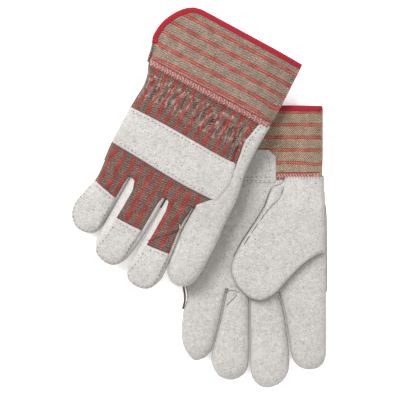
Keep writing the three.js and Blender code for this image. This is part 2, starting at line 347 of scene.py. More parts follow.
class Film:
    """A soap film over a plan: twice its height is the square of the local radius."""

    STEP = 1.0

    def __init__(self, loops, edges):
        self.edges = edges
        reach = np.vstack(loops)
        self.low = reach.min(0) - 3
        count = np.ceil((reach.max(0) + 3 - self.low) / self.STEP).astype(int)
        i, j = np.meshgrid(*map(np.arange, count), indexing="ij")
        cells = self.low + np.column_stack([i.ravel(), j.ravel()]) * self.STEP
        within = np.zeros(len(cells), bool)
        for loop in loops:
            within |= inside(cells, loop)
        within &= distance(cells, edges)[0] > 0.55
        self.u = self.relax(within.reshape(count).astype(float))

    @staticmethod
    def relax(within, rounds=420, overshoot=1.94):
        """Settles the film by red and black half-steps of successive over-relaxation."""
        u = np.zeros_like(within)
        parity = np.add.outer(np.arange(within.shape[0]), np.arange(within.shape[1])) % 2
        masks = [within[1:-1, 1:-1] * (parity[1:-1, 1:-1] == k) * overshoot for k in (0, 1)]
        for _ in range(rounds):
            for mask in masks:
                around = u[2:, 1:-1] + u[:-2, 1:-1] + u[1:-1, 2:] + u[1:-1, :-2]
                u[1:-1, 1:-1] += mask * ((around + 1) / 4 - u[1:-1, 1:-1])
        return u

    def height(self, p):
        """The film's height between its cells."""
        at = (p - self.low) / self.STEP
        at = np.clip(at, 0, np.array(self.u.shape) - 1.001)
        i = at.astype(int)
        f = at - i
        u = self.u
        a = u[i[:, 0], i[:, 1]] * (1 - f[:, 0]) + u[i[:, 0] + 1, i[:, 1]] * f[:, 0]
        b = u[i[:, 0], i[:, 1] + 1] * (1 - f[:, 0]) + u[i[:, 0] + 1, i[:, 1] + 1] * f[:, 0]
        return a * (1 - f[:, 1]) + b * f[:, 1]

    def radius(self, p, away, near):
        """Near an edge the film's slope is read a little further in, where the cells are even."""
        inward = (p - near) / np.maximum(away, 1e-6)[:, None]
        deep = np.where((away < SKIN)[:, None], near + inward * SKIN, p)
        u = self.height(deep)
        slope = (u + SKIN**2 / 2) / SKIN
        close = slope * away - away**2 / 2
        return np.sqrt(2 * np.maximum(np.where(away < SKIN, close, u), 0))


def lean(flat):
    """How far the right glove is lifted where it leans on the left one."""
    slope = LEAN_LIFT / (LEAN_TOP - LEAN_FOOT)
    ramp = slope * (flat[:, 0] - LEAN_FOOT)
    level = -LEAN_SOFT * np.log(np.exp(-ramp / LEAN_SOFT) + np.exp(-LEAN_LIFT / LEAN_SOFT))
    droop = DROOP_SLOPE * DROOP_SOFT * np.log1p(np.exp((flat[:, 1] - DROOP_START) / DROOP_SOFT))
    return np.maximum(level, 0.2) - droop


def lattice(i, j, seed):
    """A fixed value from -1 to 1 at each crossing of a lattice."""
    h = i.astype(np.int64) * 374761393 + j.astype(np.int64) * 668265263 + seed * 974634777
    h = h & 0xFFFFFFFF
    h = ((h ^ (h >> 13)) * 1274126177) & 0xFFFFFFFF
    return ((h ^ (h >> 16)) & 0xFFFF) / 32767.5 - 1


def lumps(p, size, seed):
    """Smooth uneven relief from -1 to 1, with lumps of about the given size."""
    total = np.zeros(len(p))
    for octave, share in ((1.0, 0.7), (2.1, 0.3)):
        turned = np.column_stack([0.8 * p[:, 0] + 0.6 * p[:, 1], 0.8 * p[:, 1] - 0.6 * p[:, 0]])
        at = turned * octave / size + seed * 3.7
        cell = np.floor(at)
        f = at - cell
        f = f * f * (3 - 2 * f)
        i, j = cell[:, 0], cell[:, 1]
        low = lattice(i, j, seed) * (1 - f[:, 0]) + lattice(i + 1, j, seed) * f[:, 0]
        high = lattice(i, j + 1, seed) * (1 - f[:, 0]) + lattice(i + 1, j + 1, seed) * f[:, 0]
        total += share * (low * (1 - f[:, 1]) + high * f[:, 1])
    return total


def bump(p, at, width):
    """A ridge of height 1 along a line in plan."""
    away, _ = distance(p, [np.array(at, float)])
    return np.exp(-(away / width) ** 2)


def palm_relief(p):
    """Leather lies in broad soft dents, with folds at the roots of the ring and middle fingers."""
    folds = (bump(p, [(-23.5, 103), (-16, 104.2), (-8, 102.8)], 1.2)
             + 0.9 * bump(p, [(-27, 120), (-20, 113.5), (-12, 108.5)], 1.5)
             + 0.9 * bump(p, [(14, 108), (21, 111.5), (25.5, 118)], 1.6)
             + 0.5 * bump(p, [(2, 120), (-1, 132)], 2.2))
    hollow = 1.2 * bump(p, [(-30, 62), (-36, 92)], 13) + 0.8 * bump(p, [(-22, 88), (-16, 100)], 7)
    return 1.0 * lumps(p, 30, 1) + 0.35 * lumps(p, 9, 2) - 1.5 * folds - hollow


def back_relief(p):
    """The canvas is gathered by the elastic into small folds, and creased beside the strap."""
    x, d = p[:, 0], p[:, 1]
    gather = np.exp(-((d - 22) / 12) ** 2) * (d > 0)
    across = x + 6 * lumps(p, 24, 3)
    folds = (np.sin(across * 2 * math.pi / 9.5 + 0.06 * d)
             + 0.7 * np.sin(across * 2 * math.pi / 5.3 - 0.2 * d))
    band = np.exp(-((d - 21) / 4.5) ** 2)
    cloth = smooth_step(d / 4) * smooth_step((54 - x) / 3)
    under_strap = smooth_step((40 - d) / 8) + smooth_step((d - 84) / 8)
    crease = bump(p, [(13.6, 146.8), (39.8, 119)], 1.5)
    gutter = (bump(p, [(49, 22), (48.3, 33), (50.4, 45)], 2.0)
              + 0.6 * bump(p, [(43.5, 14), (42.5, 30), (45, 44)], 2.0)
              + 0.35 * bump(p, [(38, 18), (36.5, 34)], 1.8))
    knuckle = (0.8 * bump(p, [(-40, 92), (-34, 104), (-36, 116)], 2.2)
               + 0.8 * bump(p, [(-10, 90), (-14, 108)], 2.0)
               + 0.7 * bump(p, [(26, 90), (20, 106), (26, 118)], 2.2))
    z = 0.7 * lumps(p, 28, 4) + cloth * under_strap * (0.9 * lumps(p, 9, 6) + 0.5 * lumps(p, 5, 9))
    z = z + gather * cloth * 0.95 * folds - 1.8 * band + 1.3 * crease - 2.6 * gutter - 0.9 * knuckle
    return z - 1.3 * bump(p, [(-64, 5.2), (64, 5.2)], 1.5)


# Each glove's cut: outlines of the hand and its four fingers from root to root; the cuff's open side and
# mouth; the hems of the three caps; how far the side strips show along each finger's two sides, and
# from where on the first; the edges of canvas and side leather on the back; and the strap's four sides.
PATTERNS = {
    "left": dict(
        outer_edge=[(-64.6, 0), (-60.8, 11), (-60, 22), (-61, 45), (-62.3, 80), (-62.8, 102)],
        inner_edge=[(65.6, 0), (66, 17), (68, 32), (68.7, 50), (68.7, 108)],
        root=[(-62.8, 102), (-24, 105), (-2.6, 106), (23.5, 108), (68.7, 108)],
        little=[(-62.8, 102), (-60.9, 110), (-61.6, 117), (-65, 128), (-66.4, 146), (-64, 160),
                (-55.2, 171.6), (-45.5, 170), (-40, 165), (-37.3, 160), (-31.4, 138), (-28, 122), (-24.4, 105)],
        ring=[(-23.6, 105), (-27, 122), (-30.6, 138), (-36.4, 160), (-38.6, 172.5), (-32.6, 185.6),
              (-21.8, 190.2), (-12.5, 188.2), (-5.5, 181), (-3.3, 169), (-3, 150), (-3, 130), (-3, 106)],
        middle=[(-2.2, 106), (-2.2, 130), (-1.8, 151), (-2.2, 172), (-0.6, 187.4), (6.5, 195.6), (15.8, 197.4),
                (27, 192.5), (33.6, 182), (34.2, 168), (33.2, 155), (29.2, 127), (23.1, 108)],
        index=[(23.9, 108), (30.2, 127), (34.4, 155), (36.6, 168), (42, 177), (52, 180.6), (62, 178.6),
               (68, 170), (69, 150), (68.7, 108)],
        thumb_shift=0.0,
        stripe_shift=-8.7,
        cuff_mouth=[(-32, -65), (65, -64.9)],
        cuff_side=[(-64.8, 0), (-65, -14), (-65, -19), (-65, -24), (-62.5, -40), (-55, -54), (-44, -62.6),
                   (-32, -65)],
        caps={"little": [(-70, 128), (-20, 133)], "ring": [(-45, 148), (5, 148)],
              "middle": [(-8, 157), (42, 154)]},
        insets={"little": (1.6, 3.0), "ring": (5.0, 3.0), "middle": (4.0, 3.0), "index": (2.0, 1.4)},
        canvas=[(24, 107.9), (44, 94), (55, 82), (57.5, 60), (57.5, 39), (56, 23), (59, 0)],
        side_leather=[(55.5, 0.5), (52.5, 23), (54, 45), (54.5, 62), (52, 80), (42, 92), (23.9, 108)],
        strap=([(-61.2, 45), (53.5, 45)], [(53.5, 45), (54, 84)], [(54, 84), (-62.2, 84)],
               [(-62.2, 84), (-61.2, 45)]),
        relief=palm_relief,
    ),
    "right": dict(
        outer_edge=[(-62.5, 0), (-57.8, 11), (-56, 22), (-56.6, 34), (-57, 45), (-57, 82), (-56.2, 93),
                    (-55.5, 100)],
        inner_edge=[(64.4, 0), (63.4, 23), (65, 50), (69.3, 72), (71, 101)],
        root=[(-55.5, 100), (-26, 102), (12, 104), (39.5, 99), (71, 101)],
        little=[(-55.5, 100), (-54.9, 118), (-58.6, 134), (-61.4, 147), (-58.8, 159.5), (-50.5, 167.4),
                (-39.5, 168), (-31, 163.5), (-28, 154), (-27.4, 138), (-26.4, 102)],
        ring=[(-25.6, 102), (-26.6, 130), (-27.6, 157), (-26.4, 171), (-20.8, 180.4), (-10, 183.8),
              (-0.8, 181.6), (5.2, 174), (8.5, 161), (10.4, 140), (11.6, 104)],
        middle=[(12.4, 104), (11.8, 140), (11.2, 160), (11.2, 175.5), (15.8, 186.4), (26.5, 189.4),
                (37.8, 185.4), (43.3, 174.5), (43.6, 163), (40.5, 135), (39.2, 120), (39.1, 99)],
        index=[(39.9, 99), (40, 121), (42, 145), (44.2, 160.5), (49.8, 167.8), (57.6, 170.2), (65.8, 167.6),
               (71.2, 160), (73.2, 147), (72.8, 125), (71, 101)],
        thumb_shift=-2.5,
        stripe_shift=-2.8,
        cuff_mouth=[(-43, -65), (-30, -65.2), (64, -64.7)],
        cuff_side=[(-64.3, 0), (-67, -13), (-69, -19), (-70.5, -24), (-69.3, -36), (-65, -47), (-58, -57),
                   (-50.5, -63), (-43, -65)],
        caps={"little": [(-62, 119), (-24, 127.5)], "ring": [(-32, 142), (14, 141)],
              "middle": [(6, 151.8), (48, 146.5)]},
        insets={"little": (1.2, 2.4), "ring": (7.4, 4.0), "middle": (5.4, 3.0), "index": (3.8, 1.4, 26.0)},
        canvas=[(41.5, 99), (50, 89), (57, 80), (59, 60), (57.5, 46), (56.5, 39), (54.5, 23), (59, 0)],
        side_leather=[(55.3, 0.5), (51.2, 23), (53.3, 39), (54.5, 52), (54, 78), (46.5, 88), (40.2, 95),
                      (39.9, 99)],
        strap=([(-56.6, 45), (-20, 44.6), (20, 45.6), (53.8, 46)], [(53.8, 46), (57.4, 64)],
               [(57.4, 64), (56, 76), (54.2, 84.6)], [(54.2, 84.6), (20, 85.4), (-20, 83.8), (-56.6, 82)],
               [(-56.6, 82), (-56.6, 45)]),
        relief=back_relief,
    ),
}


# ---- meshes ----
def fill(loop, spacing):
    """Points and triangles that fill an outline, finer near its edge."""
    edge = closed(loop)
    points = [loop]
    ahead = np.roll(loop, -1, axis=0) - np.roll(loop, 1, axis=0)
    inward = np.column_stack([-ahead[:, 1], ahead[:, 0]])
    inward /= np.maximum(np.linalg.norm(inward, axis=1), 1e-9)[:, None]
    for depth in RINGS:
        ring = loop + inward * depth
        keep = (distance(ring, [edge])[0] > depth * 0.8) & inside(ring, loop)
        points.append(ring[keep])
    low, high = loop.min(0), loop.max(0)
    rows = np.arange(low[1], high[1], spacing * 0.87)
    grid = [(x + (n % 2) * spacing / 2, d) for n, d in enumerate(rows)
            for x in np.arange(low[0], high[0], spacing)]
    grid = np.array(grid) if grid else np.zeros((0, 2))
    grid = grid[inside(grid, loop)]
    depth = RINGS[-1] + spacing * 0.55
    points.append(grid[distance(grid, [edge])[0] > depth])
    coords = [Vector(p) for p in np.vstack(points)]
    made = delaunay_2d_cdt(coords, [], [list(range(len(loop)))], 1, 1e-5)
    return np.array([tuple(v) for v in made[0]]), made[2]


def rim(faces):
    """The faces' open edges, in the faces' own direction."""
    seen = set()
    for face in faces:
        for a, b in zip(face, face[1:] + face[:1]):
            seen.add((a, b))
    return [(a, b) for a, b in seen if (b, a) not in seen]


def facing(p, z, faces, sign):
    """The outward direction of a surface at each of its points, in the glove's own frame."""
    q = np.column_stack([p, z])
    tri = np.array([(f[0], f[i], f[i + 1]) for f in faces for i in range(1, len(f) - 1)])
    n = np.cross(q[tri[:, 1]] - q[tri[:, 0]], q[tri[:, 2]] - q[tri[:, 0]])
    n *= np.sign(n[:, 2:]) * sign
    total = np.zeros_like(q)
    for k in range(3):
        np.add.at(total, tri[:, k], n)
    return total / np.maximum(np.linalg.norm(total, axis=1), 1e-12)[:, None]


def slope_at(heights, sign, p, h=0.3):
    """The outward direction at a few single points of a surface of heights."""
    gx = (heights(p + [h, 0]) - heights(p - [h, 0])) / (2 * h)
    gd = (heights(p + [0, h]) - heights(p - [0, h])) / (2 * h)
    slope = np.clip(np.column_stack([gx, gd]), -4, 4)
    n = np.column_stack([-slope, np.ones(len(p))])
    return sign * n / np.linalg.norm(n, axis=1)[:, None]


def make_panel(pattern, name, loop, surface, offset, thickness, spacing, shift=(0, 0)):
    """A panel laid on a surface of heights, its outer face at the offset above it.

    The offset is a number, or a function of the points and of their distance from the panel's edge.
    """
    heights, sign = surface
    p, faces = fill(loop, spacing)
    away = distance(p, [closed(loop)])[0]
    lift = offset(p, away) if callable(offset) else np.full(len(p), float(offset))
    z = heights(p)
    normal = facing(p, z, faces, sign)
    layers = []
    for depth in (lift, lift - thickness):
        layers.append((p + normal[:, :2] * depth[:, None], z + normal[:, 2] * depth))
    count = len(p)
    flip = sign < 0
    turned = [face[::-1] for face in faces]
    outer = [list(f) for f in (faces if flip else turned)]
    inner = [[count + i for i in f] for f in (turned if flip else faces)]
    sides = [[b, a, count + a, count + b] for a, b in rim(outer)]
    where = np.vstack([pattern.to_table(q, height) for q, height in layers])
    mesh = bpy.data.meshes.new(name)
    mesh.from_pydata(where.tolist(), [], outer + inner + sides)
    mesh.validate()
    steep = np.linalg.norm(normal[:, :2], axis=1)
    drop = np.abs(z - (z.max() if sign > 0 else z.min()))
    flat = p + shift + normal[:, :2] * (steep * drop)[:, None]
    write_uv(mesh, np.vstack([flat, flat]) / 100)
    return finish_object(name, mesh)


def write_uv(mesh, per_vertex):
    """The panel's own flat pattern as its UV map, one unit to 100 mm."""
    layer = mesh.uv_layers.new(name="pattern")
    corner = np.zeros(len(mesh.loops), np.int32)
    mesh.loops.foreach_get("vertex_index", corner)
    layer.data.foreach_set("uv", per_vertex[corner].astype(np.float32).ravel())


def finish_object(name, mesh):
    """A new smooth-shaded object, with its place in its mesh."""
    obj = bpy.data.objects.new(name, mesh)
    bpy.context.scene.collection.objects.link(obj)
    bpy.ops.object.select_all(action="DESELECT")
    obj.select_set(True)
    bpy.context.view_layer.objects.active = obj
    bpy.ops.object.shade_smooth_by_angle(angle=math.radians(62))
    return obj


def join(name, objects):
    """Several meshes made into one object."""
    bpy.ops.object.select_all(action="DESELECT")
    for obj in objects:
        obj.select_set(True)
    bpy.context.view_layer.objects.active = objects[0]
    bpy.ops.object.join()
    objects[0].name = name
    objects[0].data.name = name
    return objects[0]


def dress(obj, material, slot_name, *nodes):
    """Gives a piece its material and hides the CAD nodes that it stands for; the slot name is not used."""
    obj.data.materials.clear()
    obj.data.materials.append(bpy.data.materials[material])
    if nodes:
        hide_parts(*nodes)
    return obj


def capsule(sides=6):
    """A thread's float on the surface: a short rounded rod along x, of length 1 and radius 1."""
    rings = [(-0.5, 0.0), (-0.42, 0.7), (-0.2, 1.0), (0.2, 1.0), (0.42, 0.7), (0.5, 0.0)]
    verts = [(x, r * math.cos(2 * math.pi * k / sides), r * math.sin(2 * math.pi * k / sides))
             for x, r in rings[1:-1] for k in range(sides)]
    start, end = len(verts), len(verts) + 1
    verts += [(rings[0][0], 0, 0), (rings[-1][0], 0, 0)]
    faces = []
    for n in range(3):
        for k in range(sides):
            a, b = n * sides + k, n * sides + (k + 1) % sides
            faces.append((a, b, b + sides, a + sides))
    for k in range(sides):
        faces.append((start, (k + 1) % sides, k))
        faces.append((end, 3 * sides + k, 3 * sides + (k + 1) % sides))
    return np.array(verts), faces


def lay_threads(pattern, name, surface, starts, directions, length, radius, lift):
    """Short thread floats on a surface, each at its own place and direction in plan."""
    heights, sign = surface
    shape, faces = capsule()
    starts = np.asarray(starts, float)
    directions = np.asarray(directions, float)
    normal = slope_at(heights, sign, starts)
    step = 0.5
    rise = (heights(starts + directions * step) - heights(starts - directions * step)) / (2 * step)
    along = np.column_stack([directions, np.clip(rise, -2, 2)])
    along /= np.linalg.norm(along, axis=1)[:, None]
    across = np.cross(normal, along)
    centre = np.column_stack([starts, heights(starts)]) + normal * lift
    verts, polys = [], []
    for c, a, b, n in zip(centre, along, across, normal):
        base = len(verts) * len(shape)
        verts.append(c + shape[:, :1] * length * a + shape[:, 1:2] * radius * b + shape[:, 2:] * radius * n)
        polys += [[base + i for i in f] for f in faces]
    flat = np.vstack(verts)
    mesh = bpy.data.meshes.new(name)
    mesh.from_pydata(pattern.to_table(flat[:, :2], flat[:, 2]).tolist(), [], polys)
    return finish_object(name, mesh)


def stitch_row(line, pitch):
    """Places and directions for stitches along a line."""
    line = resample(smooth_line(line, 1.0), pitch)
    ahead = np.gradient(line, axis=0)
    return line, ahead / np.linalg.norm(ahead, axis=1)[:, None]


def inset_line(line, amounts):
    """A finger's edge moved in towards its middle by an amount at each point."""
    ahead = np.gradient(line, axis=0)
    ahead /= np.maximum(np.linalg.norm(ahead, axis=1), 1e-9)[:, None]
    normal = np.column_stack([-ahead[:, 1], ahead[:, 0]])
    middle = line.mean(0)
    probe = len(line) // 4
    if (middle - line[probe]) @ normal[probe] < 0:
        normal = -normal
    moved = line + normal * amounts[:, None]
    away, _ = distance(moved, [line])
    return moved[away >= amounts * 0.8]


def finger_edge(pattern, finger, at_tip, least=0.0):
    """A finger's edge set in by its two side strips, which narrow towards the tip."""
    line = pattern.fingers[finger]
    first, second, *covered = pattern.shapes["insets"][finger]
    t = np.linspace(0, 1, len(line))
    side = first + (second - first) * smooth_step((t - 0.42) / 0.16)
    beyond = line[:, 1] - line[0, 1]
    up = smooth_step((beyond - covered[0]) / 14) if covered else 0.6 + 0.4 * smooth_step(beyond / 12)
    tip = smooth_step((line[:, 1] - line[:, 1].max() + 26) / 22)
    amounts = side * up
    amounts[[0, -1]] = 0.0
    amounts = amounts + (at_tip - amounts) * tip
    return inset_line(line, np.maximum(amounts, least))


def clip(loop, a, b):
    """The part of a closed outline on the fingertip side of the line from a to b."""
    a, b = np.array(a, float), np.array(b, float)
    side = (b - a)[0] * (loop[:, 1] - a[1]) - (b - a)[1] * (loop[:, 0] - a[0])
    kept = []
    for k in range(len(loop)):
        j = (k + 1) % len(loop)
        if side[k] >= 0:
            kept.append(loop[k])
        if (side[k] >= 0) != (side[j] >= 0):
            t = side[k] / (side[k] - side[j])
            kept.append(loop[k] + t * (loop[j] - loop[k]))
    cut = np.array(kept)
    gap = np.linalg.norm(cut - np.roll(cut, 1, axis=0), axis=1)
    cut = cut[gap > 0.05]
    refined = []
    for p, q in zip(cut, np.roll(cut, -1, axis=0)):
        n = max(1, round(np.linalg.norm(q - p) / 1.5))
        refined += [p + (q - p) * k / n for k in range(n)]
    return np.array(refined)


def raised(height, edges=None):
    """A piece sewn on top: pressed down and rounded along its edge, or along some edges only."""
    def offset(p, away):
        if edges is not None:
            away = distance(p, edges)[0]
        return height * (0.3 + 0.7 * (1 - np.exp(-away / 0.7)))
    return offset


def sweep(pattern, name, rail, profile, surface):
    """A narrow piece with one cross-section along a line. Across is to the line's left."""
    heights, sign = surface
    rail = resample(rail, RAIL_SPACING)
    ahead = np.gradient(rail, axis=0)
    ahead /= np.maximum(np.linalg.norm(ahead, axis=1), 1e-9)[:, None]
    left = np.column_stack([-ahead[:, 1], ahead[:, 0]])
    rings = []
    for across, height in profile:
        p = rail + left * across
        z = heights(rail + left * max(across, 0.0)) + sign * height
        rings.append(pattern.to_table(p, z))
    rings = np.stack(rings, axis=1)
    count, width = rings.shape[:2]
    faces = []
    for n in range(count - 1):
        for k in range(width):
            a, b = n * width + k, n * width + (k + 1) % width
            faces.append((a, b, b + width, a + width))
    faces += [tuple(range(width))[::-1], tuple(range((count - 1) * width, count * width))]
    if sign < 0:
        faces = [f[::-1] for f in faces]
    mesh = bpy.data.meshes.new(name)
    mesh.from_pydata(rings.reshape(-1, 3).tolist(), [], [tuple(reversed(f)) for f in faces])
    along = np.concatenate([[0], np.cumsum(np.linalg.norm(np.diff(rail, axis=0), axis=1))])
    uv = np.array([(a, c) for a in along for c, _ in profile])
    write_uv(mesh, uv / 100)
    return finish_object(name, mesh)


# ---- materials ----
def srgb(hex_colour):
    """An sRGB hex colour as a linear one."""
    parts = [int(hex_colour[i:i + 2], 16) / 255 for i in (0, 2, 4)]
    return [c / 12.92 if c <= 0.04045 else ((c + 0.055) / 1.055) ** 2.4 for c in parts]


def add(material, kind, settings=None, **sockets):
    """Adds a node, sets its properties, and sets or links its sockets."""
    made = material.node_tree.nodes.new("ShaderNode" + kind)
    for key, value in (settings or {}).items():
        if key == "stops":
            ramp = made.color_ramp
            while len(ramp.elements) < len(value):
                ramp.elements.new(1.0)
            for element, (place, colour) in zip(ramp.elements, value):
                element.position = place
                grey = isinstance(colour, float)
                element.color = (colour, colour, colour, 1) if grey else (*colour[:3], 1)
        else:
            setattr(made, key, value)
    for key, value in sockets.items():
        if key.startswith("s_"):
            socket = made.inputs[int(key[2:])]
        else:
            socket = made.inputs[key.replace("_", " ")]
        if isinstance(value, bpy.types.NodeSocket):
            material.node_tree.links.new(value, socket)
        else:
            socket.default_value = value
    return made


def new_material(name, roughness, sheen=0.0):
    """A dry organic surface: fibres with an IOR of about 1.5, little gloss and some sheen."""
    material = bpy.data.materials.new(name)
    material.use_nodes = True
    shader = material.node_tree.nodes["Principled BSDF"]
    shader.inputs["Roughness"].default_value = roughness
    shader.inputs["IOR"].default_value = 1.5
    shader.inputs["Specular IOR Level"].default_value = 0.25
    shader.inputs["Sheen Weight"].default_value = sheen
    shader.inputs["Sheen Roughness"].default_value = 0.5
    return material, shader


def finish_material(material, shader, colour, height, depth):
    """Links the colour and a bump of the given real depth in metres."""
    material.node_tree.links.new(colour, shader.inputs["Base Color"])
    bump_node = add(material, "Bump", Height=height, Distance=depth, Strength=0.8)
    material.node_tree.links.new(bump_node.outputs[0], shader.inputs["Normal"])


def tint(colour, factor):
    """A colour made darker or lighter."""
    return tuple(c * factor for c in colour[:3])


def suede(name, colour, contrast=1.0):
    """Split cowhide, buffed to a nap: clumped short fibres, uneven dye and the odd dark fleck.

    The nap's fibres are about 1 mm apart, its clumps 4 mm and the dye's clouds 25 mm, in metres here.
    """
    material, shader = new_material(name, 0.92, sheen=0.12)
    place = add(material, "TexCoord").outputs["Object"]
    nap = add(material, "TexNoise", Vector=place, Scale=850.0, Detail=3.0, Roughness=0.75).outputs["Fac"]
    clump = add(material, "TexNoise", Vector=place, Scale=260.0, Detail=2.0, Roughness=0.5).outputs["Fac"]
    dye = add(material, "TexNoise", Vector=place, Scale=38.0, Detail=2.0).outputs["Fac"]
    fleck = add(material, "TexNoise", Vector=place, Scale=420.0, Detail=1.0).outputs["Fac"]
    fine = add(material, "ValToRGB", {"stops": [(0.32, tint(colour, 1 - 0.42 * contrast)), (0.66, colour)]},
               Fac=nap)
    spread = add(material, "ValToRGB", {"stops": [(0.32, 1 - 0.14 * contrast), (0.62, 1.0)]}, Fac=clump)
    broad = add(material, "ValToRGB", {"stops": [(0.35, 1 - 0.07 * contrast), (0.62, 1.0)]}, Fac=dye)
    dark = add(material, "ValToRGB", {"stops": [(0.23, 0.5), (0.29, 1.0)]}, Fac=fleck)
    mixed = fine.outputs["Color"]
    for layer in (spread, broad, dark):
        mixed = add(material, "MixRGB", {"blend_type": "MULTIPLY"}, Fac=1.0, Color1=mixed,
                    Color2=layer.outputs["Color"]).outputs[0]
    pile = add(material, "Math", {"operation": "MULTIPLY_ADD"}, s_0=clump, s_1=1.4, s_2=nap).outputs[0]
    finish_material(material, shader, mixed, pile, 0.00055)
    return material


def striped_canvas(name, ground, stripe, fleck, across, pitch, width, waver, gathered_at=None):
    """Heavy cotton twill: slanting floats about 2 mm apart, drawn twice as coarse as they are so that
    they show, with dyed yarns woven in as broken double lines. Lengths here are millimetres."""
    material, shader = new_material(name, 0.95, sheen=0.08)
    flat = add(material, "UVMap", {"uv_map": "pattern"}).outputs[0]
    mm = add(material, "Mapping", Vector=flat, Scale=(100, 100, 100)).outputs[0]
    wobble = add(material, "TexNoise", Vector=mm, Scale=0.085, Detail=2.0, Roughness=0.45)
    wobble = wobble.outputs["Color"]
    offset = add(material, "VectorMath", {"operation": "MULTIPLY_ADD"}, s_0=wobble,
                 s_1=(waver, waver, 0), s_2=mm).outputs[0]
    twill = add(material, "TexWave", {"bands_direction": "DIAGONAL"}, Vector=mm, Scale=0.3, Distortion=1.0,
                Detail=1.0, Detail_Scale=1.0).outputs["Fac"]
    weft = add(material, "TexWave", {"bands_direction": "DIAGONAL"}, Vector=mm, Scale=0.27,
               Distortion=1.2, Detail=1.0, Detail_Scale=2.0).outputs["Fac"]
    yarn = add(material, "TexNoise", Vector=mm, Scale=0.65, Detail=3.0, Roughness=0.75).outputs["Fac"]
    mottle = add(material, "TexNoise", Vector=mm, Scale=0.12, Detail=2.0).outputs["Fac"]
    fibre = add(material, "Math", {"operation": "MULTIPLY"}, s_0=yarn, s_1=0.9).outputs[0]
    weave = add(material, "Math", {"operation": "MULTIPLY_ADD"}, s_0=twill, s_1=0.32, s_2=fibre).outputs[0]
    light = tuple(1.3 * g + 0.2 * f for g, f in zip(ground, fleck))
    floats = [(0.42, tint(ground, 0.36)), (0.62, ground), (0.8, light)]
    cloth = add(material, "ValToRGB", {"stops": floats}, Fac=weave).outputs[0]
    band = add(material, "TexWave", {"bands_direction": "Y" if across else "X"}, Vector=offset,
               Scale=math.pi / 10 / pitch, Phase_Offset=math.pi / 2).outputs["Fac"]
    edge = 0.5 + 0.5 * math.cos(math.pi * width / pitch)
    # each stripe has soft edges and a bare yarn down its middle
    across_stripe = [(edge - 0.05, 0.0), (edge + 0.03, 1.0), (0.975, 1.0), (0.995, 0.45)]
    lines = add(material, "ValToRGB", {"stops": across_stripe}, Fac=band).outputs[0]
    dashes = add(material, "ValToRGB", {"stops": [(0.12, 0.3), (0.5, 1.0)]}, Fac=weft).outputs[0]
    covered = add(material, "Math", {"operation": "MULTIPLY"}, s_0=lines, s_1=dashes).outputs[0]
    dyed_floats = [(0.36, tint(stripe, 0.5)), (0.7, tint(stripe, 1.1))]
    dyed = add(material, "ValToRGB", {"stops": dyed_floats}, Fac=weave).outputs[0]
    striped = add(material, "MixRGB", Fac=covered, Color1=cloth, Color2=dyed).outputs[0]
    wash = add(material, "ValToRGB", {"stops": [(0.3, 0.76), (0.7, 1.12)]}, Fac=mottle).outputs[0]
    mixed = add(material, "MixRGB", {"blend_type": "MULTIPLY"}, Fac=1.0, Color1=striped, Color2=wash)
    mixed = mixed.outputs[0]
    if gathered_at is not None:
        # painted highlight: paler streaks in the bare cotton's colour where the elastic gathers the cloth into
        # ridges
        along = add(material, "SeparateXYZ", Vector=offset).outputs["Y"]
        zone = add(material, "Math", {"operation": "COMPARE"}, s_0=along, s_1=gathered_at, s_2=13.0)
        zone = zone.outputs[0]
        streak = add(material, "Mapping", Vector=mm, Scale=(0.42, 0.16, 1.0)).outputs[0]
        ridge_highlight = add(material, "TexNoise", Vector=streak, Scale=1.0, Detail=3.0, Roughness=0.7)
        ridge_highlight = ridge_highlight.outputs["Fac"]
        pale = add(material, "ValToRGB", {"stops": [(0.5, 0.0), (0.72, 0.6)]}, Fac=ridge_highlight).outputs[0]
        amount = add(material, "Math", {"operation": "MULTIPLY"}, s_0=zone, s_1=pale).outputs[0]
        mixed = add(material, "MixRGB", Fac=amount, Color1=mixed, Color2=(*fleck[:3], 1)).outputs[0]
    finish_material(material, shader, mixed, weave, 0.0006)
    return material


def woven_web(name, colour, shade, rib, depth):
    """A narrow woven tape, thread or lining: fine ribs across a single dyed colour."""
    material, shader = new_material(name, 0.85, sheen=0.15)
    place = add(material, "TexCoord").outputs["Object"]
    ribs = add(material, "TexWave", {"bands_direction": "DIAGONAL"}, Vector=place, Scale=0.628 / rib,
               Distortion=1.5, Detail=1.0).outputs["Fac"]
    lint = add(material, "TexNoise", Vector=place, Scale=600.0, Detail=2.0).outputs["Fac"]
    both = add(material, "Math", {"operation": "MULTIPLY_ADD"}, s_0=ribs, s_1=0.5, s_2=lint).outputs[0]
    mixed = add(material, "ValToRGB", {"stops": [(0.4, tint(colour, shade)), (0.85, colour)]}, Fac=both)
    mixed = mixed.outputs[0]
    finish_material(material, shader, mixed, both, depth)
    return material


# ---- settings ----
def measure(name, description, default, least=0.0, unit="NONE"):
    return FloatProperty(name=name, description=description, default=default, min=least, unit=unit)


class GloveSizes(bpy.types.PropertyGroup):
    leather: measure("Leather", "Thickness of the split leather, mm", 1.2, 0.6)
    canvas: measure("Canvas", "Thickness of the back canvas, mm", 0.8, 0.4)
    stitch_pitch: measure("Stitch pitch", "From stitch to stitch, mm", 3.9, 1.5)
    stitch_inset: measure("Stitch inset", "From a seam's edge to its stitches, mm", 3.0)
    thread: measure("Thread", "Thickness of the sewing thread, mm", 0.75, 0.2)
    tape: measure("Tape", "Width of the folded binding tape, mm", 4.5, 2)
    stripe_pitch: measure("Cuff stripe pitch", "Between cuff stripes, mm", 11.8, 4)
    back_pitch: measure("Back stripe pitch", "Between back stripes, mm", 10.0, 4)
    camera_height: measure("Camera height", "Above the floor", 2.4, unit="LENGTH")
    view_width: measure("View width", "Width seen on the floor", 0.3743, unit="LENGTH")


def colour_property(name, hex_colour, description):
    return FloatVectorProperty(name=name, description=description, subtype="COLOR", size=3, min=0, max=1,
                               default=srgb(hex_colour))


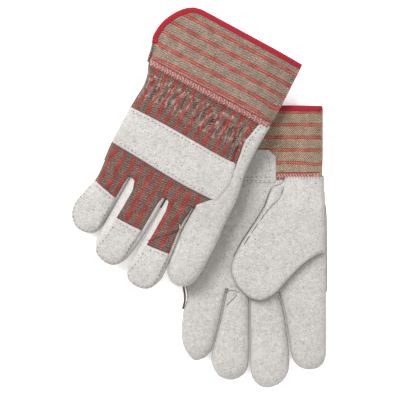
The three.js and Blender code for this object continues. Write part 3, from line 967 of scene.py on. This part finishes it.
class GloveColours(bpy.types.PropertyGroup):
    suede: colour_property("Suede", "AEABA7", "Napped face of the split leather")
    # the welts' colour is darker than the suede: painted shade along the seams
    welt_suede_shaded: colour_property("Welt suede, painted shade", "918D87", "Seam welts, where the leather's cut edge shows")
    gusset: colour_property("Gusset suede", "B6B3AF", "Thinner, paler split between the fingers")
    cuff: colour_property("Cuff canvas", "6C5E52", "Ground of the upper cuff's twill")
    under_cuff: colour_property("Under cuff canvas", "776755", "Ground of the lower cuff's twill")
    back: colour_property("Back canvas", "4F3B34", "Ground of the back's twill")
    fleck: colour_property("Bare cotton", "A69D90", "Undyed yarn that shows in the weave")
    stripe: colour_property("Stripe", "8A211C", "Dyed stripe yarn")
    tape: colour_property("Binding tape", "86061A", "Tape on the cuff's edge")
    thread: colour_property("Sewing thread", "6A6661", "Stitches in the leather")
    seam_thread: colour_property("Seam thread", "7E2029", "Thread and frayed yarn at the wrist seam")
    lining: colour_property("Lining", "E2DCCB", "Cotton flannel inside the palm")
    elastic: colour_property("Elastic", "F0EEE8", "Web elastic inside the wrist")
    floor: colour_property("Floor", "FFFFFF", "Plain pale floor")


def sizes():
    return bpy.context.scene.glove_sizes


def colours():
    return bpy.context.scene.glove_colours


def detail():
    return 1.15


class GLOVES_OT_materials(bpy.types.Operator):
    """Makes the leather, canvas, tape, thread, lining and elastic"""
    bl_idname = "gloves.materials"
    bl_label = "Materials"
    bl_options = {"REGISTER", "UNDO"}

    def execute(self, context):
        c, z = colours(), sizes()
        fleck, stripe, thread = tuple(c.fleck), tuple(c.stripe), tuple(c.thread)
        # split cowhide, buffed to a nap on its outer face; the seam welts are coarser and darker, their
        # darkness painted shade in the seams
        suede("split_suede", tuple(c.suede))
        suede("split_suede_strip", tuple(c.welt_suede_shaded), 1.3)
        suede("gusset_suede", tuple(c.gusset), 0.8)
        # cotton twill woven with dyed stripes: starched flat in the cuffs, gathered on the back with painted
        # highlights on its ridges
        striped_canvas("cuff_twill", tuple(c.cuff), stripe, fleck, True, z.stripe_pitch, 3.6, 1.2)
        striped_canvas("under_cuff_twill", tuple(c.under_cuff), stripe, fleck, True, z.stripe_pitch, 3.4, 0.8)
        striped_canvas("back_twill", tuple(c.back), tint(stripe, 0.86), fleck, False, z.back_pitch, 3.9, 7.0,
                       25.0)
        # polyester binding tape: a close plain weave with a faint sheen
        woven_web("binding_tape", tuple(c.tape), 0.62, 0.0012, 0.0002)
        # two-ply cotton threads: their twist shows as fine slanting ribs
        woven_web("sewing_thread", thread, 0.6, 0.0008, 0.0001)
        woven_web("seam_thread", tuple(c.seam_thread), 0.55, 0.0008, 0.0001)
        woven_web("cotton_yarn", fleck, 0.8, 0.0008, 0.0001)
        # the overlocked wrist seam: dyed and bare yarns in slanting turns
        mixed = tuple(0.9 * (0.55 * a + 0.45 * b) for a, b in zip(stripe, fleck))
        woven_web("seam_herringbone", mixed, 0.3, 0.0026, 0.0004)
        # painted shadow: a dark material for the thin strips laid in folds, gaps, creases and along hems, where
        # shade falls
        woven_web("seam_gap", tint(thread, 0.3), 0.6, 0.0012, 0.0001)
        # brushed cotton flannel and ribbed web elastic, both undyed and matt
        woven_web("flannel_lining", tuple(c.lining), 0.85, 0.002, 0.0003)
        woven_web("elastic_web", tuple(c.elastic), 0.8, 0.0016, 0.0003)
        return {"FINISHED"}


# ---- where pieces are held ----
def ride_hand(pattern, *pieces):
    """Pieces that keep still on their glove's hand."""
    for obj in pieces:
        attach(obj, pattern.hand)


def ride_finger(pattern, obj, finger):
    """A finger's piece stays where it was made: its transform is baked into its mesh."""
    x = pattern.fingers[finger][0, 0]
    before, after = (10, 10) if pattern.palm_up else (1, 15)
    pattern.spot(x, pattern.hinge_d - before)
    pattern.spot(x, pattern.hinge_d + after)
    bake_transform(obj)


def ride_thumb(pattern, obj):
    """A thumb's piece stays where it was made: its transform is baked into its mesh."""
    pattern.spot(68, THUMB_HINGE[1])
    pattern.spot(50, THUMB_HINGE[1])
    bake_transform(obj)


# ---- pieces ----
class GLOVES_OT_cuffs(bpy.types.Operator):
    """Cuffs of striped twill, open at the mouth and up the little finger's side, with bound edges"""
    bl_idname = "gloves.cuffs"
    bl_label = "Cuffs"
    bl_options = {"REGISTER", "UNDO"}

    def execute(self, context):
        for pattern in patterns():
            g = pattern.name
            side, mouth = pattern.shapes["cuff_side"], pattern.shapes["cuff_mouth"]
            loop = outline(side, mouth, [mouth[-1], (65, 0)], [(65, 0), side[0]])
            sheets = [make_panel(pattern, f"{g}_cuff_{face}", loop, pattern.surface(face), 0.0, sizes().canvas,
                                 detail(), (0, pattern.shapes["stripe_shift"])) for face in ("back", "palm")]
            cuff = join(f"{g}_cuff", sheets)
            twill = "under_cuff_twill" if pattern.palm_up else "cuff_twill"
            dress(cuff, twill, "cuff_canvas", f"{g}_cuff_canvas")
            rail = np.vstack([smooth_line(side)[2:], smooth_line(mouth)[1:]])
            rail = rail[rail[:, 1] < CUFF_SHUT]
            w = sizes().tape
            # folded over the edge: along the outer face, round the edge and back inside
            profile = [(w, 0.0), (w, 0.6), (w - 0.6, 1.0), (0.5, 1.1), (-0.5, 0.7), (-0.8, -0.2), (-0.5, -1.3),
                       (0.5, -1.8), (w - 0.6, -1.7), (w, -1.3), (w, -0.8)]
            bindings = [sweep(pattern, f"{g}_tape_{face}", rail, profile, pattern.surface(face))
                        for face in ("back", "palm")]
            tape = join(f"{g}_cuff_tape", bindings)
            dress(tape, "binding_tape", "binding", f"{g}_cuff_binding")
            ride_hand(pattern, cuff, tape)
        return {"FINISHED"}


def hand_loop(pattern, root=None, inner=None):
    """The outline of a hand without its fingers, with another root or inner edge where one is given."""
    shapes = pattern.shapes
    root = root or shapes["root"]
    inner = inner or shapes["inner_edge"][::-1]
    legs = [list(pair) for pair in zip(root, root[1:])]
    start = shapes["outer_edge"][0]
    return outline(shapes["outer_edge"], *legs, [root[-1], inner[0]], inner, [inner[-1], start])


class GLOVES_OT_palms(bpy.types.Operator):
    """Leather palms with their flannel lining and vein patch"""
    bl_idname = "gloves.palms"
    bl_label = "Palms"
    bl_options = {"REGISTER", "UNDO"}

    def execute(self, context):
        for pattern in patterns():
            g = pattern.name
            palm = pattern.surface("palm")
            leather = make_panel(pattern, f"{g}_palm", hand_loop(pattern), palm, 0.0, sizes().leather, detail())
            dress(leather, "split_suede", "suede", f"{g}_palm_leather")
            # the lining is cut a little smaller and starts inside the wrist
            within = [(x * 0.93, max(d, 2)) for x, d in pattern.shapes["outer_edge"]]
            inner = [(x * 0.93, max(d, 2)) for x, d in pattern.shapes["inner_edge"][::-1]]
            lining_loop = outline(within, [within[-1], inner[0]], inner, [inner[-1], within[0]])
            lining = make_panel(pattern, f"{g}_flannel", lining_loop, palm, -1.5, 0.6, 4.0)
            dress(lining, "flannel_lining", "lining", f"{g}_palm_lining")
            patch_loop = outline([(-16, 6.5), (-15.6, -12), (-15.9, -25)], [(-15.9, -25), (14.8, -24.4)],
                                 [(14.8, -24.4), (21.6, -18)], [(21.6, -18), (22, 3.5)],
                                 [(22, 3.5), (20.5, 6.5)], [(20.5, 6.5), (-16, 6.5)])
            patch = make_panel(pattern, f"{g}_wrist_patch", patch_loop, palm, raised(1.3), sizes().leather,
                               detail())
            dress(patch, "split_suede", "suede", f"{g}_vein_patch")
            ride_hand(pattern, leather, lining, patch)
        return {"FINISHED"}


class GLOVES_OT_backs(bpy.types.Operator):
    """Canvas backs, the elastic that gathers them, the side leather and the knuckle straps"""
    bl_idname = "gloves.backs"
    bl_label = "Backs"
    bl_options = {"REGISTER", "UNDO"}

    def execute(self, context):
        for pattern in patterns():
            g, shapes = pattern.name, pattern.shapes
            back = pattern.surface("back")
            edge = shapes["canvas"]
            crotches = [p for p in shapes["root"] if p[0] < edge[0][0]]
            loop = hand_loop(pattern, root=crotches + [edge[0]], inner=edge)
            lifted = raised(0.6, [pattern.outer])
            canvas = make_panel(pattern, f"{g}_back", loop, back, lifted, sizes().canvas, detail() * 0.9)
            dress(canvas, "back_twill", "back_canvas", f"{g}_back_canvas")
            web = outline([(-52, 18), (52, 18)], [(52, 18), (52, 26)], [(52, 26), (-52, 26)],
                          [(-52, 26), (-52, 18)])
            elastic = make_panel(pattern, f"{g}_elastic_web", web, back, -1.1, 0.8, 3.0)
            dress(elastic, "elastic_web", "elastic", f"{g}_wrist_elastic")
            seam, inner = shapes["side_leather"], shapes["inner_edge"]
            loop = outline(seam, [seam[-1], shapes["root"][-1]], inner[::-1], [inner[0], seam[0]])
            over = raised(1.5, [smooth_line(seam), pattern.inner])
            side = make_panel(pattern, f"{g}_side_panel", loop, back, over, sizes().leather, detail())
            dress(side, "split_suede", "suede", f"{g}_side_leather")
            strap = make_panel(pattern, f"{g}_knuckle_panel", outline(*shapes["strap"]), back, over_side,
                               sizes().leather, detail())
            dress(strap, "split_suede", "suede", f"{g}_knuckle_strap")
            ride_hand(pattern, canvas, elastic, side, strap)
            if not pattern.palm_up:
                # painted shadow: dark strips in the folds beside the side leather, below the wrist band and
                # below the strap
                folds = [sweep(pattern, f"{g}_fold_shadow_{k}", smooth_line(line), FOLD_LINE, back)
                         for k, line in enumerate(BACK_SHADOW_LINES)]
                ride_hand(pattern, dress(join(f"{g}_fold_shadows", folds), "seam_gap", "back_canvas"))
        return {"FINISHED"}


def over_side(p, away):
    """The strap's height: it climbs where it crosses the side leather."""
    lump = 0.9 * smooth_step((p[:, 0] - 44) / 8)
    return raised(1.7)(p, away) + lump * (1 + 0.5 * lumps(p, 9, 8))


class GLOVES_OT_fingers(bpy.types.Operator):
    """Fingers: leather fronts, side strips, canvas backs and leather caps over the tips"""
    bl_idname = "gloves.fingers"
    bl_label = "Fingers"
    bl_options = {"REGISTER", "UNDO"}

    def execute(self, context):
        for pattern in patterns():
            for finger in FINGERS:
                pieces = self.leather(pattern, finger)
                if finger != "index":
                    pieces += self.canvas_and_cap(pattern, finger)
                for obj in pieces + self.details(pattern, finger):
                    ride_finger(pattern, obj, finger)
        return {"FINISHED"}

    def leather(self, pattern, finger):
        """The face and the strip round the sides, and the index finger's back."""
        g, line, thickness = pattern.name, pattern.fingers[finger], sizes().leather
        palm, back = pattern.surface("palm"), pattern.surface("back")
        loop = outline(line, line[[-1, 0]])
        front = make_panel(pattern, f"{g}_{finger}_face", loop, palm, 0.0, thickness, detail())
        dress(front, "split_suede", "suede", f"{g}_{finger}_front")
        strips = make_panel(pattern, f"{g}_{finger}_strips", loop, back, 0.0, thickness, detail())
        dress(strips, "gusset_suede", "suede", f"{g}_{finger}_fourchette")
        if finger != "index":
            return [front, strips]
        edge = finger_edge(pattern, finger, 1.3)
        cover = make_panel(pattern, f"{g}_{finger}_cover", with_root(pattern, finger, edge), back,
                           raised(1.5, [edge]), thickness, detail())
        return [front, strips, dress(cover, "split_suede", "suede", f"{g}_{finger}_back")]

    def canvas_and_cap(self, pattern, finger):
        """The canvas back, and the leather cap sewn over its end."""
        g, back = pattern.name, pattern.surface("back")
        a, b = (np.array(p, float) for p in pattern.shapes["caps"][finger])
        under = np.array([0.0, 5.0])
        edge = finger_edge(pattern, finger, 1.3)
        body = clip(with_root(pattern, finger, edge), b + under, a + under)
        cover = make_panel(pattern, f"{g}_{finger}_cover", body, back, raised(0.6, [edge]), sizes().canvas,
                           detail() * 0.9)
        dress(cover, "back_twill", "back_canvas", f"{g}_{finger}_back")
        tip = clip(with_root(pattern, finger, finger_edge(pattern, finger, 1.0, 0.8)), a, b)
        cap = make_panel(pattern, f"{g}_{finger}_tip", tip, back, raised(1.75), sizes().leather, detail())
        dress(cap, "split_suede", "suede", f"{g}_{finger}_cap")
        return [cover, cap]

    def details(self, pattern, finger):
        """Painted shadow strips below the caps' hems and in creases and a fold, a canvas hem beside the little
        finger, and the one loose yarn.
        """
        g, back, made = pattern.name, pattern.surface("back"), []
        if finger != "index" and not pattern.palm_up:
            # painted shadow: a dark strip on the canvas just below part of each cap's hem
            a, b = (np.array(p, float) for p in pattern.shapes["caps"][finger])
            start, end = CAP_HEM_SHADOWS[finger]
            across = a + (b - a) * np.linspace(start, end, 40)[:, None] - (0, 0.9)
            across = across[inside(across, ccw(finger_edge(pattern, finger, 1.3)))]
            hem = sweep(pattern, f"{g}_{finger}_cap_hem", across, FOLD_LINE, back)
            made.append(dress(hem, "seam_gap", "back_canvas"))
        if finger == "ring" and pattern.palm_up:
            palm = pattern.surface("palm")
            # painted shade: dark strips in the creases at the ring finger's root
            folds = [sweep(pattern, f"{g}_{finger}_crease_{k}", smooth_line(line), SEAM_LINE, palm)
                     for k, line in enumerate(RING_CREASE_SHADOWS)]
            made.append(dress(join(f"{g}_{finger}_creases", folds), "seam_gap", "suede"))
        if finger == "middle" and not pattern.palm_up:
            # painted shade: a dark strip along the fold across the middle finger's canvas
            crease = sweep(pattern, f"{g}_{finger}_fold", smooth_line(MIDDLE_FOLD_SHADOW), CREASE_LINE, back)
            made.append(dress(crease, "seam_gap", "back_canvas"))
            at, turn = [(36.2, 121.8), (35.2, 120.8)], [(0.95, -0.3), (0.6, 0.8)]
            yarn = lay_threads(pattern, f"{g}_{finger}_loose_yarn", back, at, turn, 4.2, 0.5, 1.4)
            made.append(dress(yarn, "cotton_yarn", "back_canvas"))
        if finger == "little" and pattern.palm_up:
            level = (lambda p: np.full(len(p), 4.0), 1)
            hem = sweep(pattern, f"{g}_{finger}_hem", smooth_line(LITTLE_HEM), HEM, level)
            made.append(dress(hem, "back_twill", "back_canvas"))
        return made


def with_root(pattern, finger, edge):
    """A finger's outline: its edge, closed along its root."""
    root = resample(pattern.fingers[finger][[-1, 0]], 1.5)[1:-1]
    return ccw(np.vstack([edge, root]))


class GLOVES_OT_thumbs(bpy.types.Operator):
    """Leather thumbs folded over the palms"""
    bl_idname = "gloves.thumbs"
    bl_label = "Thumbs"
    bl_options = {"REGISTER", "UNDO"}

    def execute(self, context):
        for pattern in patterns():
            g = pattern.name
            base, outer = pattern.thumb_surfaces()
            loop, leather = pattern.thumb, sizes().leather
            under = make_panel(pattern, f"{g}_thumb_underside", loop, base, 0.0, leather, detail())
            dress(under, "split_suede", "suede", f"{g}_thumb_inner")
            face = make_panel(pattern, f"{g}_thumb_face", loop, outer, 0.0, leather, detail())
            dress(face, "split_suede", "suede", f"{g}_thumb_outer")
            # the welt is in the darker welt suede: painted shade along the thumb's seam
            welt = sweep(pattern, f"{g}_thumb_welt", pattern.thumb, WELT, base)
            dress(welt, "split_suede_strip", "suede", f"{g}_thumb_wall")
            pieces = [under, face, welt]
            if pattern.palm_up:
                # painted shadow: dark strips along the gap at the thumb's fold and in the seam on its face
                gap = sweep(pattern, f"{g}_thumb_fold", smooth_line(THUMB_FOLD_SHADOW), GAP_LINE, (pattern.upper, 1))
                line = sweep(pattern, f"{g}_thumb_seam", smooth_line(THUMB_SEAM), SEAM_LINE, outer)
                pieces += [dress(obj, "seam_gap", "suede") for obj in (gap, line)]
            for obj in pieces:
                ride_thumb(pattern, obj)
        return {"FINISHED"}


class GLOVES_OT_seams(bpy.types.Operator):
    """Side welts, rows of stitches and the frayed band at each wrist"""
    bl_idname = "gloves.seams"
    bl_label = "Seams"
    bl_options = {"REGISTER", "UNDO"}

    def execute(self, context):
        for pattern in patterns():
            g = pattern.name
            for name, line, node in (("outer", pattern.outer, "outer_side_wall"),
                                     ("thumb_side", pattern.inner[::-1], "thumb_side_wall")):
                # welts in the darker welt suede: painted shade along the side seams
                welt = sweep(pattern, f"{g}_{name}_welt", line[::-1], WELT, (pattern.lower, 1))
                dress(welt, "split_suede_strip", "suede", f"{g}_{node}")
                ride_hand(pattern, welt)
            self.stitch(pattern)
            self.wrist(pattern)
        return {"FINISHED"}

    def row(self, pattern, name, line, surface, lift):
        """A row of stitches, each a single float of the thread."""
        at, ahead = stitch_row(line, sizes().stitch_pitch)
        if len(at) > 2:
            at, ahead = at[1:-1], ahead[1:-1]
        stitches = lay_threads(pattern, name, surface, at, ahead, 1.9, sizes().thread / 2, lift)
        return dress(stitches, "sewing_thread", "binding")

    def stitch(self, pattern):
        g, shapes = pattern.name, pattern.shapes
        back, palm = pattern.surface("back"), pattern.surface("palm")
        inset = sizes().stitch_inset
        strap = shapes["strap"]
        upper = [(x, d + inset) for x, d in strap[0]]
        lower = [(x, d - inset) for x, d in strap[-2]]
        ride_hand(pattern, self.row(pattern, f"{g}_strap_stitches_wrist", upper, back, 1.7),
                  self.row(pattern, f"{g}_strap_stitches_knuckle", lower, back, 1.7))
        seam = [(x + inset, d) for x, d in shapes["side_leather"][:3]]
        ride_hand(pattern, self.row(pattern, f"{g}_side_stitches", seam, back, 1.5))
        for finger in FINGERS[:3]:
            self.stitch_cap(pattern, finger, back, inset)
        for k, line in enumerate(([(14.5, -20), (16.5, -1)], [(-13, 1.2), (20, 1.2)], [(-13, 4.6), (19, 4.6)])):
            ride_hand(pattern, self.row(pattern, f"{g}_patch_stitches_{k}", line, palm, 1.3))

    def stitch_cap(self, pattern, finger, back, inset):
        """One row across a fingertip cap's hem, and one round its tip."""
        g = pattern.name
        a, b = (np.array(p, float) for p in pattern.shapes["caps"][finger])
        edge = finger_edge(pattern, finger, 1.3, 1.0)
        top = resample([a + (0, inset), b + (0, inset)], 0.5)
        top = top[inside(top, ccw(edge)) & (distance(top, [edge])[0] > 1.5)]
        if len(top) > 6:
            hem = self.row(pattern, f"{g}_{finger}_cap_stitches", top[[0, len(top) // 2, -1]], back, 1.75)
            ride_finger(pattern, hem, finger)
        rim_line = inset_line(edge, np.full(len(edge), 1.6))
        level = a[1] + (rim_line[:, 0] - a[0]) * (b[1] - a[1]) / (b[0] - a[0])
        rim_line = rim_line[rim_line[:, 1] > level + inset + 2]
        if len(rim_line) > 6:
            tip = self.row(pattern, f"{g}_{finger}_rim_stitches", rim_line[::3], back, 1.75)
            ride_finger(pattern, tip, finger)

    def wrist(self, pattern):
        """The overlocked band where cuff and hand meet, with its red and pale yarns."""
        g, start = pattern.name, pattern.outer[0, 0] + 1.2
        bands, reds, whites = [], [], []
        for tag, face, x0, x1 in (("back_a", "back", start, 63.2), ("palm_a", "palm", start, -16.5),
                                  ("palm_b", "palm", 22.3, 63.6)):
            surface = pattern.surface(face)

            def threads(kind, at, turn, *size):
                return lay_threads(pattern, f"{g}_{kind}", surface, at, turn, *size)
            bands.append(sweep(pattern, f"{g}_wrist_band_{tag}", [(x0, 0.4), (x1, 0.4)], WRIST_BAND, surface))
            xs = np.arange(x0 + 0.8, x1 - 0.6, 1.35)
            level = np.zeros(len(xs))
            wander = lumps(np.column_stack([xs, level]), 3.0, 12)
            line = np.column_stack([xs, -2.9 + 0.2 * wander])
            ahead = np.tile([0.99, 0.14], (len(xs), 1))
            reds.append(threads(f"seam_line_{tag}", line, ahead, 1.7, 0.6, 0.35))
            for k, slant in enumerate((0.9, -0.9)):
                off = lumps(np.column_stack([xs, level + 9 * k]), 2.0, 13)
                at = np.column_stack([xs + 0.6 * k, -0.6 + 2.4 * k + 0.4 * off])
                turn = np.column_stack([level + 0.7, slant + 0.3 * wander])
                turn /= np.linalg.norm(turn, axis=1)[:, None]
                reds.append(threads(f"fray_{tag}_{k}", at[::2], turn[::2], 2.5, 0.38, 1.75))
                whites.append(threads(f"pick_{tag}_{k}", at[1::4], turn[1::4], 1.7, 0.34, 1.85))
            pick = xs[::4]
            at = np.column_stack([pick, 3.6 + 0.9 * lumps(np.column_stack([pick, pick * 0]), 1.7, 14)])
            turn = np.column_stack([np.cos(pick), np.sin(pick)])
            reds.append(threads(f"loose_{tag}", at, turn, 2.6, 0.28, 0.7))
        band = dress(join(f"{g}_wrist_band", bands), "seam_herringbone", "cuff_canvas")
        red = dress(join(f"{g}_wrist_fray", reds), "seam_thread", "binding")
        white = dress(join(f"{g}_wrist_lint", whites), "cotton_yarn", "elastic")
        ride_hand(pattern, band, red, white)


# ---- stage ----
SOFTBOXES = (("key_softbox", (-1.1, 1.2, 2.0), 1.3, 100), ("fill_softbox", (1.4, -0.6, 2.0), 2.0, 26))


class GLOVES_OT_stage(bpy.types.Operator):
    """The pale floor, the soft light and the camera overhead"""
    bl_idname = "gloves.stage"
    bl_label = "Stage"
    bl_options = {"REGISTER", "UNDO"}

    def execute(self, context):
        scene = context.scene
        scene.view_settings.view_transform = "Standard"
        bpy.ops.object.select_all(action="DESELECT")
        bpy.ops.mesh.primitive_plane_add(size=6, location=(0, 0, -0.0012))
        floor = context.object
        floor.name = "floor"
        bpy.ops.object.transform_apply(location=True, rotation=True, scale=True)
        # painted board, matt and near white; a little light of its own keeps it even
        material, shader = new_material("matt_white_board", 0.9)
        shader.inputs["Base Color"].default_value = (*colours().floor, 1)
        shader.inputs["Emission Color"].default_value = (1, 1, 1, 1)
        shader.inputs["Emission Strength"].default_value = 0.3
        floor.data.materials.append(material)
        world = bpy.data.worlds.new("soft_daylight")
        world.use_nodes = True
        world.node_tree.nodes["Background"].inputs["Color"].default_value = (1, 1, 1, 1)
        world.node_tree.nodes["Background"].inputs["Strength"].default_value = 0.8
        scene.world = world
        for name, place, size, watts in SOFTBOXES:
            bpy.ops.object.light_add(type="AREA", location=place)
            light = context.object
            light.name = name
            light.data.size = size
            light.data.energy = watts
            light.rotation_euler = Vector(place).to_track_quat("Z", "Y").to_euler()
        bpy.ops.object.camera_add(location=(0, 0, sizes().camera_height), rotation=(0, 0, 0))
        camera = context.object
        camera.data.sensor_width = 36
        camera.data.lens = 36 * sizes().camera_height / sizes().view_width
        camera.data.clip_end = 20
        scene.camera = camera
        return {"FINISHED"}


OPERATORS = (GLOVES_OT_materials, GLOVES_OT_cuffs, GLOVES_OT_palms, GLOVES_OT_backs, GLOVES_OT_fingers,
             GLOVES_OT_thumbs, GLOVES_OT_seams, GLOVES_OT_stage)


class GLOVES_PT_panel(bpy.types.Panel):
    """Lists the gloves' sizes, colours and pieces"""
    bl_idname = "GLOVES_PT_panel"
    bl_label = "Work gloves"
    bl_space_type = "VIEW_3D"
    bl_region_type = "UI"
    bl_category = "Gloves"

    def draw(self, context):
        for group in (context.scene.glove_sizes, context.scene.glove_colours):
            box = self.layout.box()
            for name in group.__annotations__:
                box.prop(group, name)
        for operator in OPERATORS:
            self.layout.operator(operator.bl_idname)


CLASSES = (GloveSizes, GloveColours, *OPERATORS, GLOVES_PT_panel)


@functools.cache
def patterns():
    """The two gloves' patterns, worked out once."""
    return [Pattern("left", True, PATTERNS["left"]), Pattern("right", False, PATTERNS["right"])]


def register():
    for cls in CLASSES:
        bpy.utils.register_class(cls)
    bpy.types.Scene.glove_sizes = PointerProperty(type=GloveSizes)
    bpy.types.Scene.glove_colours = PointerProperty(type=GloveColours)


def unregister():
    del bpy.types.Scene.glove_colours
    del bpy.types.Scene.glove_sizes
    for cls in reversed(CLASSES):
        bpy.utils.unregister_class(cls)


def main():
    register()
    bpy.ops.gloves.materials()
    bpy.ops.gloves.cuffs()
    bpy.ops.gloves.palms()
    bpy.ops.gloves.backs()
    bpy.ops.gloves.fingers()
    bpy.ops.gloves.thumbs()
    bpy.ops.gloves.seams()
    bpy.ops.gloves.stage()


if __name__ == "__main__":
    main()
